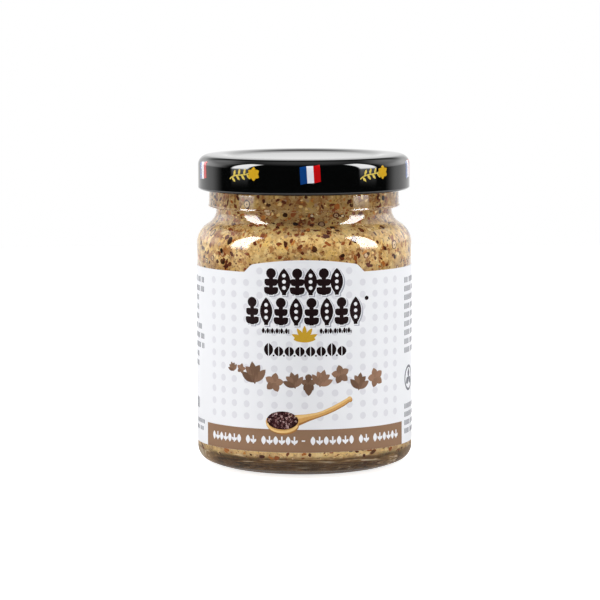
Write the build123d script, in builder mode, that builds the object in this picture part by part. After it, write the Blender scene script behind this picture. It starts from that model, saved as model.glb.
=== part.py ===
from build123d import *

import os
from math import acos, atan2, cos, degrees, hypot, radians, sin

# A small round glass jar of grainy mustard, shut with a 48 mm twist-off cap.
# Millimetres. +Z is up, the origin is the centre of the base, and the label faces -Y.

# --- Jar: the straight body and its base ---------------------------------------------
body_radius = 25.75
wall = 2.5                  # glass thickness of the body, the shoulder and the neck
shoulder_start = 53.8       # height at which the straight body ends
floor_height = 4.1          # top of the glass base, inside the jar
floor_corner = 4.0          # radius between the inside floor and the inside wall
heel_radius = 3.75          # tight arc at the foot of the body
sole_radius = 20.0          # slow arc under the heel, down to the bearing ring
sole_turn = 24.0            # degrees that the slow arc takes of the quarter turn
bearing_width = 0.8         # flat ring that the jar stands on
push_up = 1.5               # how far the middle of the base is raised

# --- Jar: shoulder, neck and mouth ---------------------------------------------------
shoulder_radius = 5.5       # arc that turns in from the body
shoulder_run = 0.6          # straight stretch between the two shoulder arcs
neck_fillet = 3.7           # arc that turns up into the neck
neck_radius = 21.05
neck_height = 0.75          # straight neck under the bead
bead_reach = 1.75           # how far the bead stands out from the neck
bead_height = 4.5
bead_round = 0.9
finish_inset = 1.2          # the mouth above the bead is this much slimmer than it
finish_height = 6.8         # from the bead's top to the rim
rim_round = 0.9

# --- Mustard ---------------------------------------------------------------------------
headspace = 3.4             # air left between the mustard and the rim

# --- Twist-off cap ---------------------------------------------------------------------
hem_clearance = 1.3         # gap between the rolled hem and the bead
hem_thickness = 1.25
hem_height = 2.2
hem_round = 0.6             # both lower edges of the hem
sheet = 0.25                # tinplate thickness
cap_height = 8.35           # from the hem's lowest edge to the crest
seal_depth = 1.2            # from the rim up to the crest: sealing compound and sheet
seal_inset = 0.6            # the compound starts this far inside the rim's inner edge
crest_radius = 20.2         # highest circle of the cap, around the sunk panel
panel_drop = 0.6
panel_slope = 5.0           # width of the S-shaped step down to the panel
crown_turn = 5.0            # degrees turned by the slow arc from the crest outwards
corner_radius = 2.3         # arc from there down into the skirt

# --- Label -----------------------------------------------------------------------------
paper = 0.1
label_above_heel = 1.35     # bottom edge over the top of the heel
label_below_shoulder = 5.05  # top edge of the wings under the shoulder
label_seam = 8.0            # bare strip of glass at the back
tab_foot_turn = 33.0        # degrees from the front to the foot of the raised tab
tab_corner_turn = 28.6      # degrees from the front to the tab's upper corner
tab_corner_rise = 1.85      # upper corners over the wings' top edge
tab_peak_rise = 3.05        # middle of the arched tab over the wings' top edge
tab_corner_round = 0.5

# --- Worked out from the above -----------------------------------------------------------
heel_turn = 90 - sole_turn
bearing_outer = (
    body_radius
    - heel_radius * (1 - cos(radians(heel_turn)))
    - sole_radius * sin(radians(sole_turn))
)
bearing_inner = bearing_outer - bearing_width
heel_height = heel_radius * sin(radians(heel_turn)) + sole_radius * (1 - cos(radians(sole_turn)))

# The two shoulder arcs and the straight stretch between them span the step from the
# body to the neck, and that sets how far the shoulder leans in.
shoulder_arcs = shoulder_radius + neck_fillet
shoulder_step = body_radius - neck_radius
shoulder_lean = acos((shoulder_arcs - shoulder_step) / hypot(shoulder_arcs, shoulder_run))
shoulder_lean -= atan2(shoulder_run, shoulder_arcs)
shoulder_turn = degrees(shoulder_lean)
neck_start = shoulder_start + shoulder_arcs * sin(shoulder_lean) + shoulder_run * cos(shoulder_lean)

bead_radius = neck_radius + bead_reach
bead_bottom = neck_start + neck_height
bead_top = bead_bottom + bead_height
finish_radius = bead_radius - finish_inset
rim_height = bead_top + finish_height
mouth_radius = neck_radius - wall
fill_height = rim_height - headspace

hem_inner = bead_radius + hem_clearance
cap_radius = hem_inner + hem_thickness
crest_height = rim_height + seal_depth
cap_bottom = crest_height - cap_height
panel_height = crest_height - panel_drop
seal_radius = mouth_radius + rim_round - seal_inset
# The crown spans what the crest and the corner leave of the cap's radius.
crown_reach = cap_radius - crest_radius - corner_radius * (1 - sin(radians(crown_turn)))
crown_radius = crown_reach / sin(radians(crown_turn))

near = 0.01                 # how far a corner may lie from the place it is looked for

label_radius = body_radius + paper
label_bottom = heel_height + label_above_heel
label_top = shoulder_start - label_below_shoulder


def rising_wall(bottom, inset, top):
    """Body, shoulder and neck, from the bottom up, moved in by inset from the outer skin."""
    body = Line((body_radius - inset, bottom), (body_radius - inset, shoulder_start))
    turn_in = JernArc(body @ 1, body % 1, shoulder_radius - inset, shoulder_turn)
    lean = Line(turn_in @ 1, turn_in @ 1 + (turn_in % 1) * shoulder_run)
    turn_up = JernArc(lean @ 1, lean % 1, neck_fillet + inset, -shoulder_turn)
    return Line(turn_up @ 1, (neck_radius - inset, top))


def inside_of_jar(top):
    """Closed half section of what the glass encloses, from its floor up to top."""
    inner_radius = body_radius - wall
    floor = Line((0, floor_height), (inner_radius - floor_corner, floor_height))
    corner = JernArc(floor @ 1, floor % 1, floor_corner, 90)
    neck = rising_wall((corner @ 1).Y, wall, top)
    Polyline(neck @ 1, (0, top), floor @ 0)


def cap_skin(inset):
    """Top and corner of the cap's sheet, from the axis outwards; returns its last arc."""
    # Two equal arcs make the S-shaped step between the sunk panel and the crest.
    step_lean = 2 * atan2(panel_drop, panel_slope)
    step_turn = degrees(step_lean)
    step_radius = panel_slope / (2 * sin(step_lean))
    level = panel_height - inset
    panel = Line((0, level), (crest_radius - panel_slope, level))
    rise = JernArc(panel @ 1, panel % 1, step_radius + inset, step_turn)
    crest = JernArc(rise @ 1, rise % 1, step_radius - inset, -step_turn)
    crown = JernArc(crest @ 1, crest % 1, crown_radius - inset, -crown_turn)
    return JernArc(crown @ 1, crown % 1, corner_radius - inset, crown_turn - 90)


# --- Jar: one solid of glass --------------------------------------------------------------
with BuildPart() as jar:
    with BuildSketch(Plane.XZ):
        with BuildLine():
            base = TangentArc((0, push_up), (bearing_inner, 0), tangent=(1, 0))
            ring = Line(base @ 1, (bearing_outer, 0))
            sole = JernArc(ring @ 1, ring % 1, sole_radius, sole_turn)
            heel = JernArc(sole @ 1, sole % 1, heel_radius, heel_turn)
            neck = rising_wall((heel @ 1).Y, 0, bead_bottom)
            Polyline(
                neck @ 1,
                (bead_radius, bead_bottom),
                (bead_radius, bead_top),
                (finish_radius, bead_top),
                (finish_radius, rim_height),
                (0, rim_height),
                base @ 0,
            )
        make_face()
        bead_corners = vertices().filter_by_position(Axis.X, bead_radius - near, bead_radius + near)
        fillet(bead_corners, bead_round)
    revolve(axis=Axis.Z)
    with BuildSketch(Plane.XZ):
        with BuildLine():
            inside_of_jar(rim_height)
        make_face()
    revolve(axis=Axis.Z, mode=Mode.SUBTRACT)
    fillet(jar.faces().sort_by(Axis.Z)[-1].edges(), rim_round)

# --- Mustard: fills the glass up to a level near the rim ----------------------------------
with BuildPart() as mustard:
    with BuildSketch(Plane.XZ):
        with BuildLine():
            inside_of_jar(fill_height)
        make_face()
    revolve(axis=Axis.Z)

# --- Cap: pressed sheet with a rolled hem, and the sealing compound bonded inside ---------
with BuildPart() as lid:
    with BuildSketch(Plane.XZ):
        with BuildLine():
            corner = cap_skin(0)
            Polyline(
                corner @ 1,
                (cap_radius, cap_bottom),
                (0, cap_bottom),
                (0, panel_height),
            )
        make_face()
    revolve(axis=Axis.Z)
    with BuildSketch(Plane.XZ):
        with BuildLine():
            corner = cap_skin(sheet)
            Polyline(
                corner @ 1,
                (cap_radius - sheet, cap_bottom + hem_height),
                (hem_inner, cap_bottom + hem_height),
                (hem_inner, cap_bottom),
                (0, cap_bottom),
                (0, panel_height - sheet),
            )
        make_face()
        with Locations(((seal_radius + cap_radius) / 2, rim_height + seal_depth / 2)):
            Rectangle(cap_radius - seal_radius, seal_depth, mode=Mode.SUBTRACT)
    revolve(axis=Axis.Z, mode=Mode.SUBTRACT)
    hem_edges = lid.faces().sort_by(Axis.Z)[0].edges()
    fillet(hem_edges, hem_round)

# --- Label: one sheet of paper round the body, open at the back ---------------------------
with BuildPart() as label:
    with BuildSketch(Plane.XY.offset(label_bottom)):
        Circle(label_radius)
        Circle(body_radius, mode=Mode.SUBTRACT)
        with Locations((0, body_radius)):
            Rectangle(label_seam, body_radius, mode=Mode.SUBTRACT)
    extrude(amount=label_top + tab_peak_rise - label_bottom)
    foot_x = label_radius * sin(radians(tab_foot_turn))
    corner_x = label_radius * sin(radians(tab_corner_turn))
    corner_z = label_top + tab_corner_rise
    with BuildSketch(Plane.XZ):
        with BuildLine():
            arch = ThreePointArc(
                (-corner_x, corner_z), (0, label_top + tab_peak_rise), (corner_x, corner_z)
            )
            Polyline(
                arch @ 1,
                (foot_x, label_top),
                (label_radius, label_top),
                (label_radius, label_bottom),
                (-label_radius, label_bottom),
                (-label_radius, label_top),
                (-foot_x, label_top),
                arch @ 0,
            )
        make_face()
        fillet(vertices().group_by(Axis.Y)[-1], tab_corner_round)
    extrude(amount=label_radius, both=True, mode=Mode.INTERSECT)
    with BuildSketch(Plane.XY.offset(label_top)):
        with Locations((0, label_radius)):
            Rectangle(2 * label_radius, 2 * label_radius)
    extrude(amount=tab_peak_rise, mode=Mode.SUBTRACT)

os.makedirs("parts", exist_ok=True)
for name, piece in (("jar", jar), ("mustard", mustard), ("lid", lid), ("label", label)):
    piece.part.label = name
    export_step(piece.part, f"parts/{name}.step")
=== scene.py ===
"""Looks of a small round jar of grainy mustard, shut with a black twist-off cap.

Run as a script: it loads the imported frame, makes the pieces that stand for its nodes, and
sets the stage. Heights rise along +Z, the label faces -Y, and all sizes are metres.
"""

import math
import random
from bisect import bisect_right

import bmesh
import bpy
from bpy.props import FloatProperty, FloatVectorProperty, IntProperty, PointerProperty
from mathutils import Matrix, Vector, noise


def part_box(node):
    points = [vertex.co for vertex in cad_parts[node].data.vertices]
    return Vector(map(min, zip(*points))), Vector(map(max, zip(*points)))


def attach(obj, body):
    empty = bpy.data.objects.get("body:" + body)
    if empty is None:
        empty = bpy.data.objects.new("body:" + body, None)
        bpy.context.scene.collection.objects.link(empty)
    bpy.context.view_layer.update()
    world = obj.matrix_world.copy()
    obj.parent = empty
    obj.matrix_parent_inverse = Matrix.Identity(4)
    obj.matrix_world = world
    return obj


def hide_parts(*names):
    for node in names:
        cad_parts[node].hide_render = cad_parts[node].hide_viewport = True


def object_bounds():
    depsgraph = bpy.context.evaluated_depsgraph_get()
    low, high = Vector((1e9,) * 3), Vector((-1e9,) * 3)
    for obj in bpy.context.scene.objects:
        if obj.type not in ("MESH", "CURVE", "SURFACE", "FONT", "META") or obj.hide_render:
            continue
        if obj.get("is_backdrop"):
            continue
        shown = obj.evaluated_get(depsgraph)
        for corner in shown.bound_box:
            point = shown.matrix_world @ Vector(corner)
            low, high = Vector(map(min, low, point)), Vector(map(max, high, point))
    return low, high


bl_info = {
    "name": "Mustard Jar",
    "version": (1, 0, 0),
    "blender": (4, 5, 0),
    "location": "View3D > Sidebar > Mustard Jar",
    "description": "Makes the glass, the filling, the cap and the printed label of a mustard jar",
    "category": "Add Mesh",
}

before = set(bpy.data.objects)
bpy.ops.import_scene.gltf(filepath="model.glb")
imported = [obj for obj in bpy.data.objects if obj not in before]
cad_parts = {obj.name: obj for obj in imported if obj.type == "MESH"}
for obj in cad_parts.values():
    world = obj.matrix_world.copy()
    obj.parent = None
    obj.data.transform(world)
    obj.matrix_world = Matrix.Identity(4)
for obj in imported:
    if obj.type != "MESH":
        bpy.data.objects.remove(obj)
CAD_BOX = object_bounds()
JAR_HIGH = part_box("jar")[1]
FILL_LOW, FILL_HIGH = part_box("mustard")
LID_LOW, LID_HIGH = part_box("lid")
LABEL_LOW, LABEL_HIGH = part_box("label")

MM = 0.001
DEGREES = 180 / math.pi     # in a radian
QUARTER = math.pi / 2
ROUND = 192                 # sides of a turned piece
ARC_STEP = 5.0              # degrees of an arc between two points of a half section

BODY_RADIUS = JAR_HIGH.x
RIM = JAR_HIGH.z
WALL = JAR_HIGH.x - FILL_HIGH.x
FLOOR = FILL_LOW.z
FILL_LEVEL = FILL_HIGH.z
CAP_RADIUS = LID_HIGH.x
CREST = LID_HIGH.z
CAP_FOOT = LID_LOW.z
PAPER_RADIUS = LABEL_HIGH.x
PAPER_FOOT = LABEL_LOW.z
TAB_PEAK = LABEL_HIGH.z


# --- Numbers and colours ---------------------------------------------------------------


def linear(*channels):
    """Red, green and blue from 0 to 255, as the eye sees them, to linear light."""
    shares = [channel / 255 for channel in channels]
    return tuple(s / 12.92 if s <= 0.04045 else ((s + 0.055) / 1.055) ** 2.4 for s in shares)


def tones(*stops):
    """A ramp's stops, from place, red, green and blue, 0 to 255 a channel."""
    return [(place, linear(*channels)) for place, *channels in stops]


def length(name, description, millimetres):
    """A length that the user may change."""
    return FloatProperty(
        name=name, description=description, default=millimetres * MM, min=0.0,
        precision=5, unit="LENGTH",
    )


def angle(name, description, degrees):
    """An angle that the user may change."""
    return FloatProperty(
        name=name, description=description, default=math.radians(degrees), subtype="ANGLE"
    )


def colour(name, description, *channels):
    """A colour that the user may change, from 0 to 255 a channel."""
    return FloatVectorProperty(
        name=name, description=description, default=linear(*channels), min=0.0, max=1.0,
        size=3, subtype="COLOR",
    )


def count(name, description, number):
    """A whole number that the user may change."""
    return IntProperty(name=name, description=description, default=number, min=0)


def share(name, description, value):
    """A plain number that the user may change."""
    return FloatProperty(name=name, description=description, default=value, min=0.0)


# --- Settings --------------------------------------------------------------------------


class GlassSettings(bpy.types.PropertyGroup):
    """Shape and tint of the glass jar."""

    shoulder_start: length("Shoulder start", "Height at which the straight body ends", 53.8)
    shoulder_radius: length("Shoulder radius", "Arc that turns in from the body", 5.5)
    shoulder_run: length("Shoulder run", "Straight stretch between the shoulder arcs", 0.6)
    neck_fillet: length("Neck fillet", "Arc that turns up into the neck", 3.7)
    neck_radius: length("Neck radius", "Outer radius of the neck", 21.05)
    neck_height: length("Neck height", "Straight neck under the bead", 0.75)
    bead_reach: length("Bead reach", "How far the bead stands out from the neck", 1.75)
    bead_height: length("Bead height", "Height of the transfer bead", 4.5)
    bead_round: length("Bead rounding", "Rounding of the bead's upper edge", 0.9)
    bead_draft: length("Bead draft", "The bead is this much slimmer at its top", 0.1)
    lip_reach: length("Lip reach", "How far the mould's seam stands out at the bead's foot", 0.16)
    lip_round: length("Lip rounding", "Rounding of that seam's lower edge", 0.3)
    lip_slope: length("Lip slope", "Height of the slope over that seam", 0.28)
    lip_ring: length("Lip ring", "Upright stretch between that slope and the bead's wall", 0.06)
    finish_inset: length("Mouth inset", "The mouth is this much slimmer than the bead", 1.2)
    rim_round: length("Rim rounding", "Rounding of the rim's edges", 0.9)
    push_up: length("Push-up", "How far the middle of the base is raised", 1.5)
    bearing_width: length("Bearing ring", "Width of the ring that the jar stands on", 0.8)
    sole_radius: length("Sole radius", "Slow arc from the bearing ring outwards", 20.0)
    sole_turn: angle("Sole turn", "Turn of the slow arc", 24.0)
    heel_radius: length("Heel radius", "Tight arc at the foot of the body", 3.75)
    floor_corner: length("Floor corner", "Radius between floor and wall inside", 4.0)
    tint: colour("Tint", "Colour of the glass", 247, 250, 248)


class FillingSettings(bpy.types.PropertyGroup):
    """Colours and grains of the mustard."""

    reach: length("Reach into the glass", "The paste reaches this far into the wall", 0.06)
    paste: colour("Paste", "Main colour of the paste", 233, 189, 119)
    paste_light: colour("Light paste", "Colour of its lightest grains", 250, 220, 156)
    paste_deep: colour("Deep paste", "Colour between its grains", 168, 118, 64)
    paste_red: colour("Bran stain", "Colour of the paste round its bran", 158, 86, 44)
    seed_size: length("Seed size", "Widest dark seed", 2.1)
    seeds: share("Dark seeds", "Whole seeds on a square centimetre", 1.9)
    rings: share("Cut seeds", "Cut seeds on a square centimetre", 1.5)
    bran: share("Bran", "Brown flakes on a square centimetre", 46.0)
    # Pale flecks are hulls and also painted glints on the wet paste.
    hulls: share("Hulls", "Pale hulls on a square centimetre", 20.0)
    specks: share("Specks", "Dark specks on a square centimetre", 62.0)
    random_seed: count("Random seed", "Another number lays the grains another way", 7)


class CapSettings(bpy.types.PropertyGroup):
    """Shape and lacquer of the cap."""

    hem_thickness: length("Hem thickness", "How far the rolled hem reaches in", 1.25)
    hem_height: length("Hem height", "Height of the rolled hem", 2.2)
    hem_round: length("Hem rounding", "Rounding of the hem's lower edges", 0.6)
    sheet: length("Sheet", "Thickness of the tinplate", 0.25)
    crest_radius: length("Crest radius", "Highest circle, around the sunk panel", 20.2)
    panel_drop: length("Panel drop", "Depth of the sunk panel", 0.6)
    panel_slope: length("Panel slope", "Width of the step down to the panel", 5.0)
    crown_turn: angle("Crown turn", "Turn of the slow arc outside the crest", 5.0)
    corner_radius: length("Corner radius", "Arc from the crown down into the skirt", 2.3)
    seal_inset: length("Seal inset", "How far the seal starts inside the rim's edge", 0.6)
    ink: length("Ink", "Thickness of one layer of print", 0.01)
    lacquer: colour("Lacquer", "Colour of the lacquer", 5, 6, 6)
    flag_blue: colour("Blue stripe", "First stripe of the small flags", 10, 62, 128)
    flag_white: colour("White stripe", "Middle stripe of the small flags", 236, 238, 246)
    flag_red: colour("Red stripe", "Last stripe of the small flags", 196, 8, 14)
    gold: colour("Gold", "Blossom of the small sprigs", 212, 166, 34)
    pale_gold: colour("Pale gold", "Leaves of the small sprigs", 216, 192, 84)


class LabelSettings(bpy.types.PropertyGroup):
    """Cut and print of the paper label."""

    sheet_reach: length("Glue", "The paper reaches this far into the glass", 0.02)
    wing_top: length("Wing top", "Height of the top edge beside the tab", 48.75)
    seam: length("Seam", "Bare strip of glass at the back", 8.0)
    tab_foot: angle("Tab foot", "Half the tab's width at its foot", 33.0)
    tab_corner: angle("Tab corner", "Half the tab's width at its corners", 28.6)
    tab_corner_rise: length("Tab corner rise", "Corners above the wings", 1.85)
    tab_round: length("Tab rounding", "Rounding of the tab's corners", 0.5)
    ink: length("Ink", "Thickness of one layer of ink", 0.006)
    panel_half: length("Front panel", "Half the width of the printed front", 28.5)
    band_top: length("Band top", "Height of the top edge of the bottom band", 11.95)
    dot_size: length("Dot size", "Width of a background dot", 1.65)
    dot_column: length("Dot column", "Distance between two columns of dots", 3.6)
    dot_row: length("Dot row", "Distance between two rows of dots", 2.865)
    dot_foot: length("Lowest dots", "Height of the lowest row of dots", 14.77)
    paper: colour("Paper", "Colour of the paper", 240, 241, 244)
    dots: colour("Dots", "Colour of the background dots", 225, 225, 230)
    band: colour("Band", "Colour of the bottom band", 146, 115, 91)
    dark: colour("Dark ink", "Nearly black brown", 24, 11, 13)
    shade: colour("Shade ink", "Grey shade beside the dark motifs", 176, 178, 188)
    gold: colour("Gold ink", "Blossom over the middle row", 203, 161, 50)
    taupe: colour("Taupe ink", "Leaves of the loose row", 128, 99, 80)
    grey: colour("Grey ink", "Fine rows at the sides", 120, 120, 128)
    wood_light: colour("Light wood", "Upper edge of the drawn spoon", 236, 198, 132)
    wood_dark: colour("Dark wood", "Lower edge of the drawn spoon", 214, 164, 96)


class StageSettings(bpy.types.PropertyGroup):
    """Floor, light and camera."""

    camera_distance: length("Camera distance", "From the jar's axis", 850.0)
    camera_height: length("Camera height", "Over the floor", 128.34)
    camera_side: length("Camera side", "How far the camera stands to the left", 1.03)
    camera_pitch: angle("Camera pitch", "How far the camera looks down", 5.9452)
    camera_roll: angle("Camera roll", "Turn about the line of sight", 0.21)
    lens: FloatProperty(name="Lens", description="Focal length, in mm", default=213.185)
    ambient: share("Ambient", "Even light from all round", 0.09)
    side_power: share("Side lamps", "Power of each low side lamp, in watts", 1.84)
    side_turn: angle("Side turn", "From the front to each low side lamp", 86.0)
    key_power: share("Key lamps", "Power of each high lamp beside the camera, in watts", 1.85)
    key_turn: angle("Key turn", "From the front to each high lamp", 50.0)
    top_power: share("Top lamp", "Power of the high front lamp, in watts", 1.84)
    mirrored_lamp: share("Mirrored lamps", "Brightness of the lamps in gloss", 18.0)
    mirrored_backdrop: share("Mirrored backdrop", "Brightness of the backdrop in gloss", 1.05)
    mirrored_ceiling: share("Mirrored ceiling", "Brightness of the ceiling in gloss", 0.6)
    mirrored_rim: share("Mirrored rims", "Brightness of the panels behind the lamps", 1.4)
    mirrored_room: share("Mirrored room", "Brightness of the rest of the room in gloss", 0.015)
    floor_glow: share("Floor glow", "How much of the floor's white is its own", 0.75)
    floor: colour("Floor", "Colour of the floor", 243, 243, 244)


class MustardJarSettings(bpy.types.PropertyGroup):
    """All settings of the jar."""

    glass: PointerProperty(type=GlassSettings, name="Glass", description="The glass jar")
    filling: PointerProperty(type=FillingSettings, name="Filling", description="The mustard")
    cap: PointerProperty(type=CapSettings, name="Cap", description="The twist-off cap")
    label: PointerProperty(type=LabelSettings, name="Label", description="The paper label")
    stage: PointerProperty(type=StageSettings, name="Stage", description="Floor and light")


# --- Half sections and turned pieces ---------------------------------------------------


class Pen:
    """Draws a half section as radius and height; the heading turns up from outwards."""

    def __init__(self, radius, height, heading=0.0):
        self.points = [(radius, height)]
        self.heading = heading

    def to(self, radius, height):
        """A straight run to a place."""
        last_radius, last_height = self.points[-1]
        self.heading = math.atan2(height - last_height, radius - last_radius)
        self.points.append((radius, height))

    def run(self, distance):
        """A straight run along the heading."""
        radius, height = self.points[-1]
        step = Vector((math.cos(self.heading), math.sin(self.heading))) * distance
        self.points.append((radius + step.x, height + step.y))

    def arc(self, bend, turn):
        """An arc of radius bend along the heading; it turns left where turn is positive."""
        radius, height = self.points[-1]
        side = math.copysign(bend, turn)
        middle_radius = radius - side * math.sin(self.heading)
        middle_height = height + side * math.cos(self.heading)
        steps = max(2, math.ceil(abs(math.degrees(turn)) / ARC_STEP))
        for step in range(1, steps + 1):
            heading = self.heading + turn * step / steps
            across, up = side * math.sin(heading), -side * math.cos(heading)
            self.points.append((middle_radius + across, middle_height + up))
        self.heading += turn


def turned(outline):
    """A bmesh of a half section spun about the axis; its poles are closed."""
    bm = bmesh.new()
    verts = [bm.verts.new((radius, 0.0, height)) for radius, height in outline]
    edges = [bm.edges.new(pair) for pair in zip(verts, verts[1:])]
    bmesh.ops.spin(
        bm,
        geom=verts + edges,
        cent=(0, 0, 0),
        axis=(0, 0, 1),
        angle=2 * math.pi,
        steps=ROUND,
        use_merge=True,
    )
    bmesh.ops.remove_doubles(bm, verts=bm.verts[:], dist=1e-7)
    bmesh.ops.recalc_face_normals(bm, faces=bm.faces[:])
    return bm


def piece(name, bm, finish, slot, stands_for=()):
    """Makes a piece of the jar from a bmesh and frees it."""
    mesh = bpy.data.meshes.new(name)
    bm.to_mesh(mesh)
    bm.free()
    mesh.shade_smooth()
    mesh.set_sharp_from_angle(angle=math.radians(40))
    mesh.materials.append(finish)
    made = bpy.data.objects.new(name, mesh)
    bpy.context.scene.collection.objects.link(made)
    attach(made, "root")
    if stands_for:
        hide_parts(*stands_for)


def shoulder_lean(glass):
    """How far the shoulder leans in: its arcs and run span the step from body to neck."""
    arcs = glass.shoulder_radius + glass.neck_fillet
    step = BODY_RADIUS - glass.neck_radius
    lean = math.acos((arcs - step) / math.hypot(arcs, glass.shoulder_run))
    return lean - math.atan2(glass.shoulder_run, arcs)


def bead_foot(glass):
    """Height of the bead's lower side."""
    lean = shoulder_lean(glass)
    arcs = glass.shoulder_radius + glass.neck_fillet
    neck_start = glass.shoulder_start + arcs * math.sin(lean) + glass.shoulder_run * math.cos(lean)
    return neck_start + glass.neck_height


def rising_skin(glass, inset, foot, top):
    """Body, shoulder and neck from foot up to top, moved in by inset from the outside."""
    lean = shoulder_lean(glass)
    pen = Pen(BODY_RADIUS - inset, foot, QUARTER)
    pen.to(BODY_RADIUS - inset, glass.shoulder_start)
    pen.arc(glass.shoulder_radius - inset, lean)
    pen.run(glass.shoulder_run)
    pen.arc(glass.neck_fillet + inset, -lean)
    pen.to(glass.neck_radius - inset, top)
    return pen.points


def inner_skin(glass, reach, top):
    """What the glass encloses, from the middle of its floor up to top, grown by reach."""
    radius = BODY_RADIUS - WALL + reach
    pen = Pen(0.0, FLOOR - reach)
    pen.to(radius - glass.floor_corner, FLOOR - reach)
    pen.arc(glass.floor_corner, QUARTER)
    return pen.points + rising_skin(glass, WALL - reach, pen.points[-1][1], top)[1:]


# --- Finishes --------------------------------------------------------------------------


class Signal:
    """An output socket; arithmetic on it adds Math nodes."""

    def __init__(self, finish, socket):
        self.finish = finish
        self.socket = socket

    def __add__(self, other):
        return self.finish.maths("ADD", self, other)

    def __sub__(self, other):
        return self.finish.maths("SUBTRACT", self, other)

    def __rsub__(self, other):
        return self.finish.maths("SUBTRACT", other, self)

    def __mul__(self, other):
        return self.finish.maths("MULTIPLY", self, other)

    __radd__ = __add__
    __rmul__ = __mul__


class Finish:
    """The node tree of a material or of the world, being put together."""

    def __init__(self, owner):
        owner.use_nodes = True
        self.owner = owner
        self.tree = owner.node_tree
        self.tree.nodes.clear()

    def node(self, kind, settings=None, sockets=None):
        """Adds a node: its settings come first, then its sockets' values or links."""
        made = self.tree.nodes.new(kind)
        for name, value in (settings or {}).items():
            if name == "stops":
                ramp = made.color_ramp
                while len(ramp.elements) < len(value):
                    ramp.elements.new(1.0)
                for element, (place, shade) in zip(ramp.elements, value):
                    element.position = place
                    element.color = (*shade, 1.0)
            else:
                setattr(made, name, value)
        for name, value in (sockets or {}).items():
            socket = made.inputs[name]
            if isinstance(value, Signal):
                self.tree.links.new(value.socket, socket)
            elif socket.type == "RGBA" and len(value) == 3:
                socket.default_value = (*value, 1.0)
            else:
                socket.default_value = value
        return made

    def signal(self, kind, output, settings=None, sockets=None):
        """Adds a node and returns one of its outputs."""
        return Signal(self, self.node(kind, settings, sockets).outputs[output])

    def maths(self, operation, first, second=0.0):
        """A Math node's result."""
        settings = {"operation": operation}
        return self.signal("ShaderNodeMath", 0, settings, {0: first, 1: second})

    def blend(self, factor, first, second):
        """A Mix node's colour."""
        sockets = {0: factor, 6: first, 7: second}
        return self.signal("ShaderNodeMix", 2, {"data_type": "RGBA"}, sockets)

    def place(self):
        """The piece's own coordinates."""
        return self.signal("ShaderNodeTexCoord", "Object")

    def axes(self, vector):
        """The three parts of a vector."""
        apart = self.node("ShaderNodeSeparateXYZ", None, {0: vector})
        return [Signal(self, output) for output in apart.outputs]

    def reach(self, across, along):
        """Distance from the jar's axis."""
        return self.maths("SQRT", across * across + along * along)

    def rays(self, *kinds):
        """For each kind of ray, 1 where the ray is of that kind and 0 elsewhere."""
        path = self.node("ShaderNodeLightPath")
        return [Signal(self, path.outputs[f"Is {kind} Ray"]) for kind in kinds]

    def noise(self, grain, detail=2.0, roughness=0.5, place=None, output="Fac"):
        """Noise whose patches are about grain metres wide."""
        sockets = {
            "Vector": place or self.place(),
            "Scale": 1.0 / grain,
            "Detail": detail,
            "Roughness": roughness,
        }
        return self.signal("ShaderNodeTexNoise", output, None, sockets)

    def spread(self, value, low, high, new_low=0.0, new_high=1.0):
        """Stretches low to high smoothly over the new limits."""
        settings = {"interpolation_type": "SMOOTHSTEP"}
        sockets = {"Value": value, 1: low, 2: high, 3: new_low, 4: new_high}
        return self.signal("ShaderNodeMapRange", 0, settings, sockets)

    def fade(self, value, low, high):
        """1 below low, 0 above high, and smooth between them."""
        return self.spread(value, low, high, 1.0, 0.0)

    def window(self, value, low, full, fading, high):
        """1 from full to fading, and 0 below low and above high."""
        return self.spread(value, low, full) * self.fade(value, fading, high)

    def ramp(self, factor, stops):
        """A ColorRamp's colour."""
        return self.signal("ShaderNodeValToRGB", "Color", {"stops": stops}, {"Fac": factor})

    def bump(self, height, distance, strength=1.0):
        """A normal from a height; distance is the step from 0 to 1, in metres."""
        sockets = {"Height": height, "Distance": distance, "Strength": strength}
        return self.signal("ShaderNodeBump", 0, None, sockets)

    def shader(self, kind, **sockets):
        """A shader, whose sockets are named with underscores for spaces."""
        named = {name.replace("_", " "): value for name, value in sockets.items()}
        return self.signal(f"ShaderNode{kind}", 0, None, named)

    def mix(self, factor, first, second):
        """A Mix Shader."""
        return self.signal("ShaderNodeMixShader", 0, None, {0: factor, 1: first, 2: second})

    def surface(self, shader):
        """Ends the tree with a shader and returns what the tree belongs to."""
        kind = "World" if isinstance(self.owner, bpy.types.World) else "Material"
        self.node(f"ShaderNodeOutput{kind}", None, {"Surface": shader})
        return self.owner

    def skin(self, **sockets):
        """Ends the tree with a Principled shader."""
        return self.surface(self.shader("BsdfPrincipled", **sockets))


def new_finish(name):
    """The finish that fills a new material."""
    return Finish(bpy.data.materials.new(name))


RIB_COUNT = 150.0           # ribs on the bearing ring
HEEL_PITCH = 1.3 * MM       # from one ring on the heel to the next


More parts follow.
